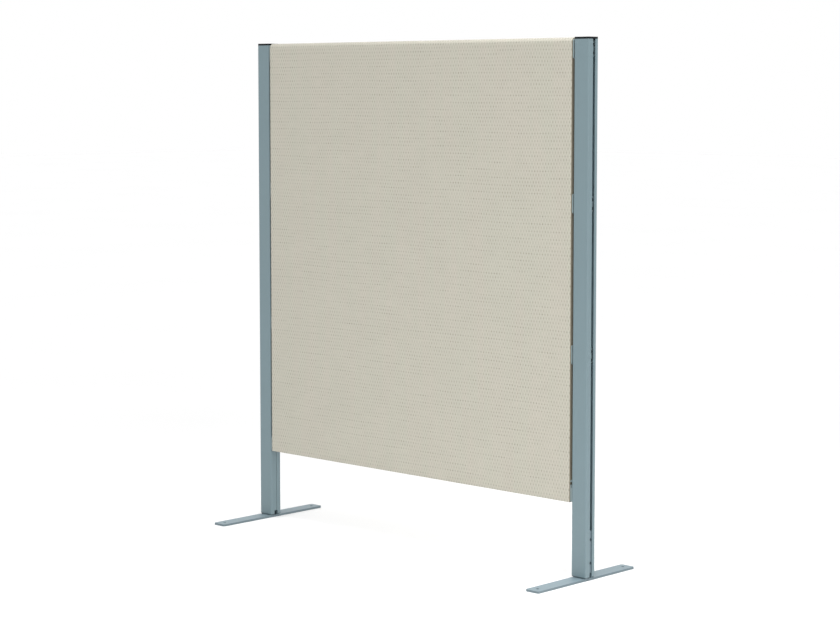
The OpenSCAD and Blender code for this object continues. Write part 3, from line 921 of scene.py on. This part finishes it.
sway = spread(weave, cloud(weave, cloth_map, sway_size, 1.0), -sway_reach, sway_reach)
swayed = calc(weave, "ADD", up, sway)
row_number = cell_number(weave, swayed, row_pitch)
row_place = cell_place(weave, swayed, row_pitch)
odd_row = calc(weave, "FLOORED_MODULO", row_number, 2.0)
row_spot = spot_at(weave, over, row_number)
row_mood = spread(weave, cloud(weave, row_spot, mood_length, 1.0), -0.1, 2.1)

# %% [markdown]
# ## Dots
# A dot is an upright oval in the middle of its cell. It is drawn from how far a point is from
# that middle, so its border can be soft, as a thread's is. The dots of every second row are set
# over by half a cell and are shorter and wider.

# %% Draw the dots
dot_pitch = 9.3 * mm


def oval(tree, wide, half_wide, tall, half_tall):
    """How far a point is from an oval's middle: 1 on its rim."""
    sideways = calc(tree, "DIVIDE", calc(tree, "ABSOLUTE", wide), half_wide)
    upright = calc(tree, "DIVIDE", calc(tree, "ABSOLUTE", tall), half_tall)
    squares = [calc(tree, "POWER", part, 2.0) for part in (sideways, upright)]
    return calc(tree, "SQRT", calc(tree, "ADD", *squares))


half_shift = calc(weave, "MULTIPLY", odd_row, 0.5)
dot_number = cell_number(weave, over, dot_pitch, half_shift)
dot_place = cell_place(weave, over, dot_pitch, half_shift)
dot_half_wide = spread(weave, odd_row, 1.7 * mm, 2.0 * mm)
dot_half_tall = spread(weave, odd_row, 3.6 * mm, 2.6 * mm)
round_dot = oval(weave,
    calc(weave, "MULTIPLY", dot_place, dot_pitch), dot_half_wide,
    calc(weave, "MULTIPLY", row_place, row_pitch), dot_half_tall)
dot = calc(weave, "SUBTRACT", 1.0, step_up(weave, round_dot, 0.55, 1.15))
print("dots in a row:", round(2 * half_w / dot_pitch))

# %% [markdown]
# ## How dark each dot is
# No two dots are pulled equally tight. Each has a share of its own, drawn from its number in the
# grid, and its row's mood is multiplied in. Between the dots the same thread shows faintly, so a
# thin line joins them.

# %% Darken the dots and join them
def near_middle(tree, place, half_width, softness):
    """1 in the middle of a cell and 0 outside half_width, with a soft border."""
    away = calc(tree, "ABSOLUTE", place)
    inside = step_up(tree, away, half_width - softness, half_width + softness)
    return calc(tree, "SUBTRACT", 1.0, inside)


dot_mood = add_node(weave, "ShaderNodeTexWhiteNoise", noise_dimensions="2D")
weave.links.new(spot_at(weave, dot_number, row_number), dot_mood.inputs["Vector"])
own_share = spread(weave, dot_mood.outputs["Value"], 0.6, 1.4)
row_share = calc(weave, "MULTIPLY", spread(weave, odd_row, 0.34, 0.46), row_mood)
row_line = calc(weave, "MULTIPLY", near_middle(weave, row_place, 0.14, 0.08), 0.3)
linked = calc(weave, "MAXIMUM", calc(weave, "MULTIPLY", dot, own_share), row_line)
dark_share = calc(weave, "MULTIPLY", linked, row_share, held=True)
print("nodes in the weave so far:", len(weave.nodes))

# %% [markdown]
# ## Pale stitches
# Between the dots lie paler stitches, and a thin pale line runs between the rows. Both are found
# like the rows and the dots, but counted from the border of a cell and not from its middle.

# %% Place the pale stitches
from_dot = calc(weave, "SUBTRACT", calc(weave, "ABSOLUTE", dot_place), 0.5)
from_row = calc(weave, "SUBTRACT", calc(weave, "ABSOLUTE", row_place), 0.5)
dash = calc(weave, "MULTIPLY",
    near_middle(weave, from_dot, 0.17, 0.08), near_middle(weave, row_place, 0.34, 0.1))
seam_line = near_middle(weave, from_row, 0.06, 0.03)
print("nodes in the weave so far:", len(weave.nodes))

# %% [markdown]
# ## Where the painted shade of the end strips begins
# The strips at the ends are coloured a dark brown: painted shade, which stands for the shade in
# the narrow gap beside each post. It reaches a millimetre round onto the wide faces, as painted
# shade on their edges. On the map that is everything beyond a certain width.

# %% Find the end strips
shade_wrap = 1.1 * mm
shade_wrap_blur = 0.3 * mm
shade_wrap_start = half_w - shade_wrap
end_strip_shade = step_up(weave, calc(weave, "ABSOLUTE", over), shade_wrap_start, shade_wrap_start + shade_wrap_blur)
print("end strips begin", round(shade_wrap_start, 4), "m from the middle")

# %% [markdown]
# ## Crossing yarns
# Warp and weft go over and under each other in turn. A yarn is round, so its height is a wave
# across it, and which of the two lies on top changes from one crossing to the next, like the
# squares of a chessboard.

# %% Cross the yarns
yarn_pitch = 1.55 * mm
pick_pitch = 1.225 * mm


def round_thread(tree, place):
    """A round thread's height across its cell."""
    return calc(tree, "COSINE", calc(tree, "MULTIPLY", place, math.pi))


yarn_round = round_thread(weave, cell_place(weave, over, yarn_pitch))
pick_round = round_thread(weave, cell_place(weave, up, pick_pitch))
yarn_number = cell_number(weave, over, yarn_pitch)
pick_number = cell_number(weave, up, pick_pitch)
over_under = calc(weave, "FLOORED_MODULO", calc(weave, "ADD", yarn_number, pick_number), 2.0)
crossing = calc(weave, "ADD",
    calc(weave, "MULTIPLY", yarn_round, over_under),
    calc(weave, "MULTIPLY", pick_round, calc(weave, "SUBTRACT", 1.0, over_under)))
print("yarns in the width:", round(2 * half_w / yarn_pitch))

# %% [markdown]
# ## Slubs and streaks
# Spun yarn is thick and thin by turns, so it looks flecked. Noise that is drawn out along the
# thread gives slubs one way and flecks the other, a coarser one gives thick yarns, and two slow
# ones let whole patches drift in depth and in tint.

# %% Vary the yarns
drawn_out = 0.08
along_row = spot_at(weave, calc(weave, "MULTIPLY", over, drawn_out), up)
along_height = spot_at(weave, over, calc(weave, "MULTIPLY", up, drawn_out))
slub = cloud(weave, along_row, 1.3 * mm, 2.0, 0.6)
fleck = cloud(weave, along_height, 1.6 * mm, 2.0, 0.6)
streak = cloud(weave, along_row, 5 * mm, 1.0)
drift = cloud(weave, cloth_map, 110 * mm, 3.0, 0.6)
tint = cloud(weave, along_height, 34 * mm, 2.0)
print("slubs are drawn out", 1 / drawn_out, "times")

# %% [markdown]
# ## The ground colour
# The ground is beige, but never one beige: slubs are deeper, flecks paler, thick yarns and
# drifting patches deeper again, and some stretches are a touch warmer and others cooler. Each is
# laid over the last in a thin share, so that none can be seen alone.

# %% Colour the ground
cloth_ground = (0.448, 0.429, 0.362)
cloth_dash = (0.558, 0.540, 0.474)
pale_ground = shade(cloth_ground, 1.12)
deep_ground = shade(cloth_ground, 0.80)
warm_ground = [part * share for part, share in zip(cloth_ground, (1.03, 0.99, 0.98))]
cool_ground = [part * share for part, share in zip(cloth_ground, (0.98, 1.01, 0.97))]

slub_share = spread(weave, slub, 0.0, 0.9)
ground = mix_colours(weave, slub_share, pale_ground, deep_ground)
ground = mix_colours(weave, spread(weave, fleck, 0.0, 0.30), ground, cloth_dash)
thick_yarn = calc(weave, "MULTIPLY", step_up(weave, streak, 0.3, 0.7), 0.36)
ground = mix_colours(weave, thick_yarn, ground, deep_ground)
patch = calc(weave, "MULTIPLY", step_up(weave, drift, 0.3, 0.7), 0.3)
ground = mix_colours(weave, patch, ground, deep_ground)
tinted = mix_colours(weave, step_up(weave, tint, 0.35, 0.65), warm_ground, cool_ground)
ground = mix_colours(weave, 0.5, ground, tinted)
print("beige of the cloth:", cloth_ground)

# %% [markdown]
# ## The pattern over the ground
# The lines, the stitches and the dots go over the ground in that order, as the dots' thread lies
# on top. The painted shade of the end strips covers all of it, and last the valleys between the
# yarns are darkened, because little light gets there.

# %% Lay the pattern over the ground
cloth_dot = (0.244, 0.238, 0.190)
# The dark brown of the end strips is painted shade.
strip_shade_colour = (0.210, 0.180, 0.125)

lined = mix_colours(weave, calc(weave, "MULTIPLY", seam_line, 0.32), ground, cloth_dash)
dashed = mix_colours(weave, calc(weave, "MULTIPLY", dash, 0.6), lined, cloth_dash)
dotted = mix_colours(weave, dark_share, dashed, cloth_dot)
# Painted shade on the end strips, varied a little by the slubs.
strip = mix_colours(weave, slub_share, strip_shade_colour, shade(strip_shade_colour, 0.75))
whole = mix_colours(weave, end_strip_shade, dotted, strip)
valleys = calc(weave, "MULTIPLY", calc(weave, "SUBTRACT", 1.0, crossing), 0.18)
weave.links.new(mix_colours(weave, valleys, whole, cloth_dot), cloth_shader.inputs["Base Color"])
print("dark dots:", cloth_dot)

# %% [markdown]
# ## Raised threads
# The threads stand up by a fifth of a millimetre and the dots are pulled in, which gives the cloth
# its dry, grainy look. A little sheen stands for the fine fuzz on spun yarn, and there is hardly
# any shine.

# %% Raise the threads
thread_height = 0.22 * mm
threads = calc(weave, "ADD", crossing, calc(weave, "MULTIPLY", slub, 0.6))
height = calc(weave, "SUBTRACT", threads, calc(weave, "MULTIPLY", dark_share, 1.2))
weave.links.new(relief(weave, height, thread_height), cloth_shader.inputs["Normal"])
cloth_shader.inputs["Sheen Weight"].default_value = 0.2
cloth_shader.inputs["Sheen Roughness"].default_value = 0.6
cloth_shader.inputs["Specular IOR Level"].default_value = 0.2
cover_mesh.materials.append(cloth_finish)
print("nodes in the weave:", len(weave.nodes))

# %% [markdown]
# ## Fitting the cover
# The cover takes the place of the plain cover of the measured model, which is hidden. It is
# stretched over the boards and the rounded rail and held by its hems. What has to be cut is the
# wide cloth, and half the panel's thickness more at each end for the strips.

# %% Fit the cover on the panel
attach(cover, "root")
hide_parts("cloth_cover")

# %% [markdown]
# ## Bring the scene up to date
# The finished screen has to keep the size of the measured model. Here the scene is brought up to
# date.

# %% Bring the scene up to date
bpy.context.view_layer.update()
